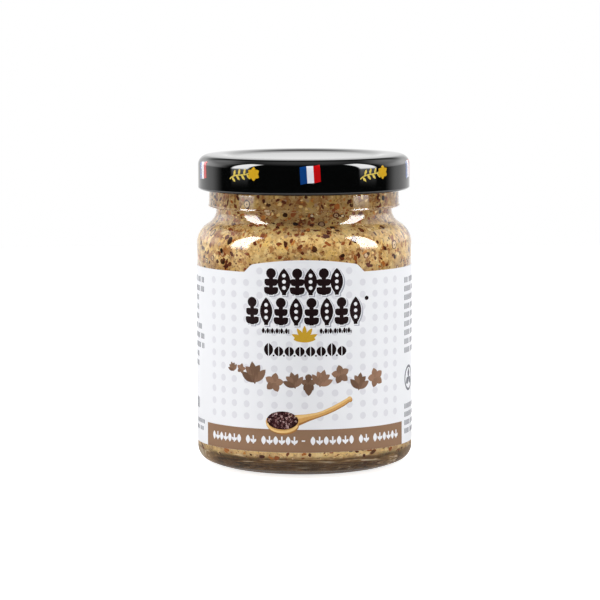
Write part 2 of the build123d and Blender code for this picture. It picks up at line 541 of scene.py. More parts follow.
def glass_finish(glass):
    """Clear glass that lets light straight through to what it holds."""
    finish = new_finish("clear_glass")
    across, along, height = finish.axes(finish.place())
    radius = finish.reach(across, along)
    ribs = finish.maths("SINE", finish.maths("ARCTAN2", across, along) * RIB_COUNT)
    on_ring = finish.window(radius, 13.8 * MM, 14.4 * MM, 17.0 * MM, 19.0 * MM)
    on_ring = on_ring * finish.fade(height, 0.6 * MM, 1.0 * MM)
    rings = finish.maths("SINE", (height - radius) * (2 * math.pi / HEEL_PITCH))
    on_heel = finish.fade(height, 2.6 * MM, 3.6 * MM)
    relief = finish.noise(7 * MM, 1.0) * 0.045 + ribs * on_ring * 0.06 + rings * on_heel * 0.045
    clear = finish.shader(
        "BsdfPrincipled",
        Base_Color=glass.tint,
        Roughness=0.0,
        IOR=1.5,
        Transmission_Weight=1.0,
        Normal=finish.bump(relief, MM),
    )
    open_side = finish.shader("BsdfTransparent", Color=(0.97, 0.98, 0.975))
    through = finish.maths("MAXIMUM", *finish.rays("Shadow", "Diffuse"))
    return finish.surface(finish.mix(through, clear, open_side))


GRAIN_TONES = {
    "bran": tones(
        (0.0, 76, 38, 26), (0.35, 116, 60, 36), (0.6, 150, 82, 46), (0.8, 186, 108, 54),
        (1.0, 212, 144, 76),
    ),
    # Pale hulls, which also stand for painted glints on the wet paste.
    "pale_hull_and_glint": tones(
        (0.0, 172, 138, 108), (0.22, 204, 164, 118), (0.45, 238, 198, 124), (0.8, 250, 214, 144),
        (1.0, 252, 226, 172),
    ),
    "dark_speck": tones((0.0, 44, 24, 14), (0.5, 80, 44, 26), (1.0, 124, 70, 38)),
    "cut_hull": tones(
        (0.0, 60, 32, 22), (0.4, 98, 54, 34), (0.7, 146, 80, 46), (1.0, 182, 108, 58)
    ),
    "cut_seed": tones((0.0, 176, 138, 106), (0.5, 224, 188, 142), (1.0, 244, 218, 180)),
    "dark_seed": tones((0.0, 34, 18, 10), (0.5, 60, 34, 20), (1.0, 98, 58, 34)),
}
# Painted shade and painted glints of the paste's underside as the glass base shows it: dark tones
# crossed by light lines.
BASE_SHADE_AND_GLINT_TONES = tones(
    (0.36, 36, 20, 10), (0.5, 112, 74, 42), (0.58, 176, 134, 88), (0.64, 250, 232, 200)
)
DRAWN_SEED_TONES = tones(
    (0.0, 32, 15, 18), (0.5, 66, 34, 36), (0.72, 128, 90, 88), (1.0, 196, 164, 160)
)


def paste_finish(filling):
    """Coarse mustard: a paste full of crushed grains, seen against the glass, with painted shade
    at the neck and painted shade and glints on its underside.
    """
    finish = new_finish("mustard_paste")
    shift = finish.signal(
        "ShaderNodeVectorMath", 0, {"operation": "MULTIPLY_ADD"},
        {0: finish.noise(1.5 * MM, output="Color"), 1: (0.9 * MM,) * 3, 2: finish.place()},
    )

    def grains(width):
        """A tone for each soft-edged cell, about width metres wide."""
        sockets = {"Vector": shift, "Scale": 1 / width, "Smoothness": 0.25}
        cells = finish.signal("ShaderNodeTexVoronoi", "Color", {"feature": "SMOOTH_F1"}, sockets)
        return finish.signal("ShaderNodeSeparateColor", 0, None, {0: cells})

    coarse, fine = grains(1.3 * MM), grains(0.5 * MM)
    light, mid, deep = filling.paste_light, filling.paste, filling.paste_deep
    base = finish.ramp(coarse, ((0.0, deep), (0.2, mid), (0.55, mid), (0.8, light), (1.0, light)))
    husk, crumb = linear(160, 112, 64), linear(232, 188, 112)
    small = finish.ramp(fine, ((0.0, husk), (0.3, mid), (0.7, light), (1.0, crumb)))
    body = finish.blend(0.42, base, small)
    stains = (
        # width of a patch in mm, its detail, where it starts and is full, strength, colour
        (3.4, 2.0, 0.44, 0.64, 0.45, linear(176, 122, 72)),
        (2.7, 2.0, 0.55, 0.66, 0.45, linear(252, 208, 108)),
        (2.0, 4.0, 0.53, 0.60, 0.72, filling.paste_red),
        (1.05, 4.0, 0.59, 0.66, 0.75, linear(104, 56, 34)),
        (0.5, 2.0, 0.62, 0.71, 0.6, linear(84, 54, 36)),
    )
    for width, detail, low, high, strength, shade in stains:
        patches = finish.spread(finish.noise(width * MM, detail, 0.62), low, high)
        body = finish.blend(patches * strength, body, shade)
    across, along, height = finish.axes(finish.place())
    # Lines drawn out round the axis, for the painted shade and glints of the paste's underside.
    drawn_out = {0: across * 0.05, 1: along * 0.05, 2: height - finish.reach(across, along)}
    flat = finish.signal("ShaderNodeCombineXYZ", 0, None, drawn_out)
    painted_base_streaks = finish.ramp(finish.noise(0.42 * MM, 3.0, 0.65, flat), BASE_SHADE_AND_GLINT_TONES)
    levels = (
        # lowest and highest point in mm, strength below and above them, colour
        (7.0, 12.0, 0.35, 0.0, linear(240, 214, 158)),
        # painted shade: the paste turns darker towards the neck, where the cap shades it
        (55.5, 60.5, 0.0, 0.38, linear(128, 74, 38)),
        # painted shade and painted glints on the paste's underside, below the lowest heights
        (4.2, 5.6, 0.9, 0.0, painted_base_streaks),
    )
    for low, high, below, above, shade in levels:
        body = finish.blend(finish.spread(height, low * MM, high * MM, below, above), body, shade)
    return finish.skin(
        Base_Color=body,
        Roughness=finish.spread(fine, 0.0, 1.0, 0.45, 0.7),
        Specular_IOR_Level=0.03,
        Normal=finish.bump(fine, 0.08 * MM, 0.5),
    )


def grain_finish(name, stops, gloss=0.5, mottle=0.25):
    """One kind of grain: each is toned by its own value, and mottled."""
    finish = new_finish(name)
    tone = finish.signal("ShaderNodeAttribute", "Fac", {"attribute_name": "tone"})
    patches = finish.noise(0.35 * MM, 2.0, 0.6)
    return finish.skin(
        Base_Color=finish.ramp(tone + (patches - 0.5) * mottle, stops),
        Roughness=finish.spread(patches, 0.2, 0.8, gloss, gloss + 0.2),
        Specular_IOR_Level=0.03,
        Normal=finish.bump(patches, 0.05 * MM, 0.6),
    )


def lacquer_finish(cap):
    """Deep gloss lacquer on tinplate."""
    finish = new_finish("black_lacquer")
    worn = finish.noise(6 * MM, 3.0)
    return finish.skin(
        Base_Color=finish.blend(worn, cap.lacquer, tuple(c * 0.6 for c in cap.lacquer)),
        Roughness=finish.spread(worn, 0.2, 0.8, 0.3, 0.4),
        Specular_IOR_Level=0.0,
        Coat_Weight=1.0,
        Coat_Roughness=0.03,
        Normal=finish.bump(finish.noise(0.6 * MM, 1.0), 0.004 * MM, 0.5),
    )


def ink_finish(name, shade, gloss=0.45, mottle=0.08, coat=0.0):
    """Printing ink: a nearly even colour with a little mottle."""
    finish = new_finish(name)
    patches = finish.noise(0.5 * MM, 3.0, 0.6)
    light = tuple(min(1.0, c * (1 + mottle)) for c in shade)
    dark = tuple(c * (1 - mottle) for c in shade)
    return finish.skin(
        Base_Color=finish.blend(patches, dark, light),
        Roughness=finish.spread(patches, 0.2, 0.8, gloss, gloss + 0.12),
        Specular_IOR_Level=0.06,
        Coat_Weight=coat,
        Coat_Roughness=0.04,
    )


def paper_finish(label):
    """Smooth white label paper with a fine fibre."""
    finish = new_finish("label_paper")
    fibre = finish.noise(0.35 * MM, 4.0, 0.65)
    cloud = finish.noise(5 * MM)
    return finish.skin(
        Base_Color=finish.blend(cloud, tuple(c * 0.985 for c in label.paper), label.paper),
        Roughness=finish.spread(fibre, 0.2, 0.8, 0.42, 0.55),
        Specular_IOR_Level=0.14,
        Normal=finish.bump(fibre, 0.01 * MM, 0.5),
    )


# --- Grains against the glass ----------------------------------------------------------


class Trail:
    """A line of radii and heights, followed by distance from its start."""

    def __init__(self, points):
        self.points = points
        self.marks = [0.0]
        for (r0, z0), (r1, z1) in zip(points, points[1:]):
            self.marks.append(self.marks[-1] + math.hypot(r1 - r0, z1 - z0))

    def at(self, distance):
        """Radius, height and heading at a distance."""
        i = bisect_right(self.marks, distance, 1, len(self.marks) - 1)
        (r0, z0), (r1, z1) = self.points[i - 1], self.points[i]
        part = (distance - self.marks[i - 1]) / (self.marks[i] - self.marks[i - 1])
        return r0 + (r1 - r0) * part, z0 + (z1 - z0) * part, math.atan2(z1 - z0, r1 - r0)

    def distance_to(self, height):
        """The first distance at which the line reaches a height."""
        for i in range(1, len(self.points)):
            z0, z1 = self.points[i - 1][1], self.points[i][1]
            if z1 >= height > z0:
                part = (height - z0) / (z1 - z0)
                return self.marks[i - 1] + part * (self.marks[i] - self.marks[i - 1])
        return self.marks[-1]


def stance(trail, distance, turn, twist):
    """Frame of a grain that faces out through the glass, twisted about its own axis."""
    radius, height, heading = trail.at(distance)
    out = Vector((math.sin(turn), -math.cos(turn), 0.0))
    side = Vector((math.cos(turn), math.sin(turn), 0.0))
    up = Vector((0.0, 0.0, 1.0))
    along = out * math.cos(heading) + up * math.sin(heading)
    face = out * math.sin(heading) - up * math.cos(heading)
    frame_of_grain = Matrix((side, along, face)).transposed().to_4x4()
    frame_of_grain.translation = out * radius + up * height
    return frame_of_grain @ Matrix.Rotation(twist, 4, "Z")


BATCH = 40                  # grains laid before the next small bmesh is begun
GRAIN_ROOT = 0.5 * MM       # how deep a flake reaches into the paste


class Scatter:
    """Lays grains of one kind over the parts of the wall that can be seen."""

    def __init__(self, trail, zones, dice):
        self.trail = trail
        self.zones = zones
        self.dice = dice
        self.batches = []
        self.open_batch()

    def open_batch(self):
        """Starts a small bmesh, because operators slow down as theirs grows."""
        self.bm = bmesh.new()
        self.tone = self.bm.verts.layers.float.new("tone")
        self.laid = 0

    def close_batch(self):
        """Puts the small bmesh away."""
        batch = bpy.data.meshes.new("batch")
        self.bm.to_mesh(batch)
        self.bm.free()
        self.batches.append(batch)

    def spots(self, per_square_cm):
        """Places over every zone, evenly by area."""
        for start, end, turn_low, turn_high, dense in self.zones:
            widest = max(self.trail.at(d)[0] for d in (start, (start + end) / 2, end))
            area = (end - start) * (turn_high - turn_low) * widest
            for _ in range(round(area * 1e4 * per_square_cm * dense)):
                distance = self.dice.uniform(start, end)
                if self.dice.random() * widest <= self.trail.at(distance)[0]:
                    yield distance, self.dice.uniform(turn_low, turn_high)

    def settle(self, verts, spot, tone):
        """Moves a grain made at the origin to its spot and tones it."""
        for vert in verts:
            vert[self.tone] = tone
        place = stance(self.trail, *spot, self.dice.uniform(0, 2 * math.pi))
        bmesh.ops.transform(self.bm, matrix=place, verts=verts)
        self.laid += 1
        if self.laid == BATCH:
            self.close_batch()
            self.open_batch()

    def flake(self, spot, wide, tall, reach, tone, ragged=0.3, sides=9):
        """A flat flake with a ragged edge, lying against the glass."""
        made = bmesh.ops.create_cone(
            self.bm, cap_ends=True, segments=sides, radius1=0.92, radius2=1.0, depth=1.0
        )
        swell = [1 + self.dice.uniform(-ragged, ragged) for _ in range(sides)]
        for vert in made["verts"]:
            side = round(math.atan2(vert.co.y, vert.co.x) / (2 * math.pi) * sides) % sides
            vert.co.x *= swell[side] * wide / 2
            vert.co.y *= swell[side] * tall / 2
            vert.co.z = reach if vert.co.z > 0 else -GRAIN_ROOT
        self.settle(made["verts"], spot, tone)

    def seed(self, spot, wide, tall, reach, tone, detail=2, sunk=0.24):
        """A rounded grain pressed flat where it touches the glass."""
        made = bmesh.ops.create_icosphere(self.bm, subdivisions=detail, radius=0.5)
        offset = Vector((self.dice.uniform(-9, 9), self.dice.uniform(-9, 9), 0))
        for vert in made["verts"]:
            vert.co *= 1 + 0.16 * noise.noise(vert.co * 2.2 + offset)
            vert.co = Vector((vert.co.x * wide, vert.co.y * tall, vert.co.z * wide * 0.8))
            vert.co.z = min(vert.co.z - sunk * wide, reach)
        self.settle(made["verts"], spot, tone)

    def done(self, name, kind, gloss=0.5):
        """The finished piece."""
        self.close_batch()
        whole = bmesh.new()
        for batch in self.batches:
            whole.from_mesh(batch)
            bpy.data.meshes.remove(batch)
        piece(name, whole, grain_finish(kind, GRAIN_TONES[kind], gloss), "mustard")


# --- Flat motifs, in millimetres, and their printing -----------------------------------


def oval(x, y, wide, tall, turn=0.0, sides=20):
    """An ellipse, turned by turn degrees."""
    angles = [2 * math.pi * i / sides for i in range(sides)]
    return moved([(wide / 2 * math.cos(a), tall / 2 * math.sin(a)) for a in angles], x, y, turn)


def leaf(x, y, long, wide, turn=0.0, sides=8):
    """A pointed leaf that grows from (x, y) in the direction turn, in degrees."""
    swell = [wide / 2 * math.sin(math.pi * i / sides) ** 0.8 for i in range(sides + 1)]
    upper = [(long * i / sides, half) for i, half in enumerate(swell)]
    lower = [(a, -b) for a, b in reversed(upper[1:-1])]
    return moved(upper + lower, x, y, turn)


def bar(x0, y0, x1, y1):
    """An upright rectangle."""
    return [(x0, y0), (x1, y0), (x1, y1), (x0, y1)]


def moved(shape, x, y, turn=0.0):
    """A shape turned about the origin and moved."""
    c, s = math.cos(math.radians(turn)), math.sin(math.radians(turn))
    return [(x + a * c - b * s, y + a * s + b * c) for a, b in shape]


def ribbon(points, wide):
    """A curved stroke along points."""
    left, right = [], []
    for i, (x, y) in enumerate(points):
        (xa, ya), (xb, yb) = points[max(i - 1, 0)], points[min(i + 1, len(points) - 1)]
        long = math.hypot(xb - xa, yb - ya)
        nx, ny = -(yb - ya) / long * wide / 2, (xb - xa) / long * wide / 2
        left.append((x + nx, y + ny))
        right.append((x - nx, y - ny))
    return left + right[::-1]


def bezier(p0, p1, p2, p3, steps):
    """Points of a cubic curve."""
    points = []
    for i in range(steps + 1):
        t = i / steps
        weights = ((1 - t) ** 3, 3 * t * (1 - t) ** 2, 3 * t * t * (1 - t), t**3)
        pulls = list(zip(weights, (p0, p1, p2, p3)))
        points.append(tuple(sum(w * p[k] for w, p in pulls) for k in (0, 1)))
    return points


def blossom(x, y, size, petals=5):
    """Petals round a centre; size is the blossom's width."""
    step = 360 / petals
    return [leaf(x, y, size / 2, size * 0.36, 90.0 + step * i) for i in range(petals)]


def cut(bm, normal, places):
    """Cuts a flat mesh along straight lines that follow each other along normal."""
    for place in places:
        bmesh.ops.bisect_plane(
            bm, geom=bm.verts[:] + bm.edges[:] + bm.faces[:], dist=1e-8,
            plane_co=Vector(normal) * place, plane_no=normal,
        )


def paper_skin(height):
    """Radius of the paper's outside, the same at every height."""
    return PAPER_RADIUS


def wrap(bm, arm, radius_at, depth, lift):
    """Bends a flat mesh round the jar, from depth under a surface to lift over it.

    Lengths across are true at the radius arm; radius_at gives the surface at a height.
    """
    grown = bmesh.ops.extrude_face_region(bm, geom=bm.faces[:], use_keep_orig=True)
    lifted = {e for e in grown["geom"] if isinstance(e, bmesh.types.BMVert)}
    for vert in bm.verts:
        turn, height = vert.co.x / arm, vert.co.y
        radius = radius_at(height) + (lift if vert in lifted else -depth)
        vert.co = Vector((radius * math.sin(turn), -radius * math.cos(turn), height))
    bmesh.ops.recalc_face_normals(bm, faces=bm.faces[:])


class Press:
    """Prints flat shapes in layers of ink round the jar, cut in strips that follow its surface."""

    def __init__(self, arm, radius_at, ink, slot, strip, rows=()):
        self.arm = arm
        self.radius_at = radius_at
        self.ink = ink
        self.slot = slot
        self.strip = strip
        self.rows = rows

    def print(self, name, shapes, layer, finish):
        """Makes a piece from a list of outlines, or of (outline, tone), on a layer."""
        bm = bmesh.new()
        tone = bm.verts.layers.float.new("tone")
        for shape in shapes:
            outline, value = shape if isinstance(shape, tuple) else (shape, 0.5)
            verts = [bm.verts.new((x * MM, y * MM, 0.0)) for x, y in outline]
            for vert in verts:
                vert[tone] = value
            bm.faces.new(verts)
        strips = int(max(abs(vert.co.x) for vert in bm.verts) / self.strip)
        cut(bm, (1, 0, 0), [i * self.strip for i in range(-strips, strips + 1)])
        cut(bm, (0, 1, 0), self.rows)
        wrap(bm, self.arm, self.radius_at, self.ink, layer * self.ink)
        piece(name, bm, finish, self.slot)


def pod(x, y, tall, grow=0.0):
    """An upright seed pod on a short stalk, grown by grow on every side."""
    return [
        leaf(x, y - grow, tall + 2 * grow, 3.1 + 2 * grow, 90, 12),
        bar(x - 0.5 - grow, y - grow, x + 0.5 + grow, y + 1.6),
    ]


def sprig(x, y, tall, grow=0.0):
    """An upright stalk with two pairs of leaves and a bud, grown by grow on every side."""
    parts = [bar(x - 0.5 - grow, y - grow, x + 0.5 + grow, y + tall - 0.9)]
    for step, long in ((0.04, 2.3), (0.36, 2.1)):
        for side in (42, 138):
            parts.append(leaf(x, y + tall * step, long + grow, 1.7 + 2 * grow, side))
    parts.append(oval(x, y + tall - 1.2, 2.4 + 2 * grow, 2.4 + 2 * grow))
    return parts


FRIEZE_ROWS = (
    # middle across, foot, height, number of motifs, distance between two
    (-0.1, 43.6, 6.3, 6, 3.12),
    (-0.15, 36.5, 6.5, 8, 3.6),
)


def frieze_places():
    """Number in its row, place across, foot and height of every motif of the frieze."""
    for middle, foot, tall, number, pitch in FRIEZE_ROWS:
        for i in range(number):
            yield i, middle + (i - (number - 1) / 2) * pitch, foot, tall


def frieze(grow=0.0):
    """The two dark rows of pods and sprigs."""
    shapes = []
    for i, x, foot, tall in frieze_places():
        shapes += (pod if i % 2 else sprig)(x, foot, tall, grow)
    return shapes


def frieze_seeds():
    """Light seeds in the pods of the frieze."""
    return [
        oval(x, foot + tall * part, 0.9, 0.9, sides=14)
        for i, x, foot, tall in frieze_places()
        if i % 2
        for part in (0.27, 0.5, 0.73)
    ]


LOOSE_ROW = (
    # middle across, middle height, height, turn, tone
    (-18.5, 26.2, 2.4, 20, 0.35),
    (-15.9, 25.9, 2.3, -15, 0.6),
    (-12.5, 25.1, 5.4, 8, 0.2),
    (-7.3, 23.0, 4.2, -12, 0.6),
    (-2.7, 23.6, 4.1, 14, 0.3),
    (0.9, 22.8, 3.4, 0, 0.1),
    (4.1, 24.0, 4.3, -16, 0.7),
    (8.6, 24.8, 4.1, 12, 0.5),
    (13.5, 22.9, 4.3, -8, 0.25),
    (18.2, 23.5, 4.3, 18, 0.8),
)


def loose_row():
    """Taupe leaves and blossoms that lie along a wavy line, each with its tone."""
    shapes = []
    for i, (x, y, tall, turn, tone) in enumerate(LOOSE_ROW):
        if i % 2:
            parts = blossom(0, 0, tall * 1.12)
        else:
            parts = [leaf(0, -tall / 2, tall, tall * 0.42, 90)]
            parts += [leaf(0, -tall * 0.42, tall * 0.78, tall * 0.34, side) for side in (40, 140)]
            parts += [leaf(0, -tall * 0.12, tall * 0.56, tall * 0.3, side) for side in (50, 130)]
        hues = (tone, min(1.0, tone + 0.25), max(0.0, tone - 0.15))
        shapes += [(moved(part, x, y, turn), hues[k % 3]) for k, part in enumerate(parts)]
        if i == 5:
            shapes += [(leaf(x, y - 2.9, 4.0, 2.1, 90), tone), (oval(x, y + 1.5, 1.6, 1.5), tone)]
    return shapes


def split_leaf(x, y, wide, tall):
    """A bold upright leaf, split down its middle."""
    half = [(wide / 2 * math.sin(math.pi * i / 8) ** 0.7, tall * i / 8) for i in range(9)]
    return [moved(half, x + 0.1, y), [(x - 0.1 - a, y + b) for a, b in reversed(half)]]


def seed_row():
    """Bold split leaves in the middle row, two of them taller."""
    shapes = []
    for i in range(8):
        tall = 3.1 if i in (0, 6) else 2.35
        shapes += split_leaf(-8.6 + i * 2.5, 29.2, 2.05, tall)
        if i < 7:
            shapes.append(bar(-7.55 + i * 2.5, 29.2, -7.15 + i * 2.5, 29.55))
    return shapes


def fine_row():
    """Two runs of small upright leaves and bars beside the gold fan."""
    shapes = []
    for start, number in ((-9.9, 6), (3.9, 7)):
        for i in range(number):
            x = start + i * 1.13
            shapes.append(leaf(x, 34.5, 1.35, 0.72, 90))
            shapes.append(bar(x + 0.42, 34.55, x + 0.68, 35.6 if i % 2 else 35.2))
    return shapes


def gold_fan():
    """Five leaves fanned out over a curved foot."""
    shapes = [leaf(0, 33.1, 3.4 if side == 90 else 3.3, 1.05, side) for side in range(24, 157, 33)]
    foot = bezier((-2.4, 33.5), (-1.2, 32.7), (1.2, 32.7), (2.4, 33.5), 8)
    return shapes + [ribbon(foot, 0.75)]


BAND_GROUPS = (
    # first and last place, and number of marks
    (-26.0, -15.9, 7),
    (-14.8, -11.9, 2),
    (-10.7, -1.7, 6),
    (1.1, 12.1, 7),
    (13.1, 16.1, 2),
    (17.2, 26.4, 6),
)


def band_chain():
    """Six groups of small leaves and stems with a dash in the middle, along the band."""
    shapes = [bar(-0.75, 9.15, 0.05, 9.45)]
    for start, end, number in BAND_GROUPS:
        pitch = (end - start) / number
        for i in range(number):
            x = start + pitch * (i + 0.5)
            if i % 2:
                shapes.append(bar(x - 0.18, 8.35, x + 0.18, 10.3))
                shapes += [leaf(x, 8.6, 1.15, 0.62, side) for side in (48, 132)]
            else:
                shapes.append(leaf(x, 8.25, 2.1, 1.15, 90))
    return shapes


def side_columns(dice):
    """Fine grey rows of small upright strokes at both sides, in groups."""
    shapes = []

    def row(left, right, foot, tall):
        """A row of strokes in groups, which may end a little early."""
        x = left
        end = right - dice.choice((0.0, 0.0, 1.0, 4.0))
        while x < end - 0.6:
            for _ in range(dice.randrange(3, 9)):
                if x < end - 0.6:
                    shapes.append(bar(x, foot, x + 0.52, foot + tall * 0.8))
                x += 0.86
            x += 0.8

    for left, right in ((29.8, 50.5), (53.5, 73.5)):
        blocks = (
            # left end, right end, foot of the top row, distance between rows, rows, height
            (-right, -left, 45.1, 2.25, 10, 1.6),
            (-right, -left - 0.6, 14.7, 0.0, 1, 3.2),
            (-right, -left, 11.3, 1.7, 2, 1.2),
            (left + 0.4, right, 44.9, 2.1, 9, 1.6),
            (left + 0.4, right, 14.7, 1.98, 4, 1.5),
        )
        for start, end, top, pitch, number, tall in blocks:
            for i in range(number):
                row(start, end, top - pitch * i, tall)
    return shapes


RING_STEPS = 24             # straight steps of a round mark
RING_RADII = (3.1, 2.5)     # its outside and inside


def side_rings():
    """Plain round marks on the right side, each with a blossom in it."""
    shapes = []
    outer, inner = RING_RADII
    for x, y in ((33.3, 21.9), (41.5, 21.9)):
        for i in range(RING_STEPS):
            start, end = (2 * math.pi * k / RING_STEPS for k in (i, i + 1))
            corners = [(outer, start), (outer, end), (inner, end), (inner, start)]
            shapes.append([(x + r * math.cos(a), y + r * math.sin(a)) for r, a in corners])
        shapes += blossom(x, y, 4.6, 3)
    return shapes


HANDLE_EDGES = (
    # across and height of a point of the foot edge, then of the top edge
    (-3.4, 11.5, -3.4, 15.4),
    (-1.2, 13.0, -1.9, 15.45),
    (1.3, 14.1, 0.2, 15.6),
    (3.8, 14.95, 2.7, 15.95),
    (5.0, 15.35, 4.1, 16.35),
    (7.1, 16.2, 6.6, 17.4),
    (9.5, 17.35, 9.1, 18.6),
    (11.1, 18.35, 10.7, 19.4),
)


def handle_strip(low, high):
    """Part of the handle between two shares of the way from its foot edge to its top edge."""

    def edge(part):
        """Points at one share of the way."""
        return [(a + (c - a) * part, b + (d - b) * part) for a, b, c, d in HANDLE_EDGES]

    return edge(low) + edge(high)[::-1]


def spoon_shapes():
    """The drawn spoon: underside, bowl with handle, and its light upper edge."""
    under = [oval(-5.3, 13.3, 8.0, 5.1, -4), handle_strip(0.0, 0.4)]
    under.append(oval(10.95, 18.75, 1.15, 1.3, 40))
    wood = [oval(-5.4, 13.5, 7.95, 4.9, -4), handle_strip(0.2, 1.0)]
    wood.append(oval(10.85, 18.9, 1.2, 1.25, 40))
    lip = bezier((-9.0, 13.3), (-8.4, 10.9), (-3.4, 10.7), (-1.8, 12.9), 12)
    light = [handle_strip(0.62, 0.95), oval(10.8, 19.15, 0.9, 0.6, 30), ribbon(lip, 0.5)]
    return under, wood, light


# Middle, width and height of the heap in the drawn spoon, and the number of its seeds.
HEAP = (-5.3, 14.1, 7.6, 4.3)
HEAP_SEEDS = 260


def spoon_seeds(dice):
    """A heap of small dark seeds in the bowl, each with its tone."""
    shapes = []
    while len(shapes) < HEAP_SEEDS:
        a, b = dice.uniform(-1, 1), dice.uniform(-1, 1)
        if a * a + b * b < 1:
            size = dice.uniform(0.4, 0.7)
            x, y = HEAP[0] + a * 3.5, HEAP[1] + b * 2.0
            seed = oval(x, y, size, size * 0.62, dice.uniform(0, 180), 8)
            shapes.append((seed, dice.random()))
    return shapes


def dot_grid(label):
    """Rows of background dots, which go on beside the tab only under the wings."""
    size = label.dot_size / MM
    shapes = []
    for row in range(13):
        y = (label.dot_foot + row * label.dot_row) / MM
        for column in range(-7, 8):
            x = column * label.dot_column / MM
            if y < label.wing_top / MM - size / 2 or abs(x) < 11.5:
                shapes.append(oval(x, y, size, size))
    return shapes


def flag_stripe(middle, part):
    """One of a small flag's three stripes, in a slightly wavy cut."""
    lower, upper = [], []
    for i in range(7):
        t = (part + i / 6) / 3
        x = middle + (t - 0.5) * 4.75
        wave = 0.75 * t + 0.1 * math.sin(2 * math.pi * t)
        lower.append((x + 0.12, 69.35 + wave))
        upper.append((x - 0.1, 73.45 + wave * 0.75))
    return lower + upper[::-1]


def cap_sprig(x):
    """A bent stalk with leaves on both sides."""
    stalk = bezier((x - 4.1, 70.4), (x - 2.6, 71.9), (x - 0.4, 71.0), (x + 1.6, 71.9), 8)
    leaves = [leaf(*foot, 1.55, 0.62, 74 if i % 2 else -46) for i, foot in enumerate(stalk[1:8])]
    return [ribbon(stalk, 0.28)] + leaves


# --- Operators -------------------------------------------------------------------------


class MUSTARDJAR_OT_glass(bpy.types.Operator):
    """Blow the glass jar"""

    bl_idname = "mustard_jar.glass"
    bl_label = "Glass Jar"

    def execute(self, context):
        glass = context.scene.mustard_jar.glass
        heel_turn = QUARTER - glass.sole_turn
        bearing = BODY_RADIUS - glass.heel_radius * (1 - math.cos(heel_turn))
        bearing -= glass.sole_radius * math.sin(glass.sole_turn)
        hollow = bearing - glass.bearing_width
        rise = (hollow**2 + glass.push_up**2) / (2 * glass.push_up)
        pen = Pen(0.0, glass.push_up)
        pen.arc(rise, -math.asin(hollow / rise))
        pen.to(bearing, 0.0)
        pen.arc(glass.sole_radius, glass.sole_turn)
        pen.arc(glass.heel_radius, heel_turn)
        foot = bead_foot(glass)
        outside = rising_skin(glass, 0.0, pen.points[-1][1], foot)
        pen.points += outside[1:]
        bead_radius = glass.neck_radius + glass.bead_reach
        lip = bead_radius + glass.lip_reach
        pen.to(lip - glass.lip_round, foot)
        pen.arc(glass.lip_round, QUARTER)
        over_lip = foot + glass.lip_round + glass.lip_slope
        pen.to(bead_radius, over_lip)
        pen.to(bead_radius, over_lip + glass.lip_ring)
        pen.to(bead_radius - glass.bead_draft, foot + glass.bead_height - glass.bead_round)
        pen.arc(glass.bead_round, QUARTER)
        finish_radius = bead_radius - glass.finish_inset
        pen.to(finish_radius, foot + glass.bead_height)
        pen.to(finish_radius, RIM - glass.rim_round)
        pen.arc(glass.rim_round, QUARTER)
        mouth = glass.neck_radius - WALL
        pen.to(mouth + glass.rim_round, RIM)
        pen.arc(glass.rim_round, QUARTER)
        inside = inner_skin(glass, 0.0, RIM - glass.rim_round)
        outline = pen.points + inside[-2::-1]
        piece("glass_jar", turned(outline), glass_finish(glass), "glass", ("jar",))
        return {"FINISHED"}


class MUSTARDJAR_OT_filling(bpy.types.Operator):
    """Fill the jar with the mustard's paste"""

    bl_idname = "mustard_jar.filling"
    bl_label = "Mustard Paste"

    def execute(self, context):
        settings = context.scene.mustard_jar
        outline = inner_skin(settings.glass, settings.filling.reach, FILL_LEVEL)
        outline.append((0.0, FILL_LEVEL))
        finish = paste_finish(settings.filling)
        piece("mustard_paste", turned(outline), finish, "mustard", ("mustard",))
        return {"FINISHED"}


GRAIN_FOOT = 4.7 * MM       # heights between which grains are laid
GRAIN_TOP = 68 * MM
NECK_GRAINS = 59 * MM       # over this height they lie closer together
UNDER_PAPER = 3 * MM        # how far they go on behind the paper's edges
SEAM_HALF = 6.5 * MM        # half the width of their strip at the back


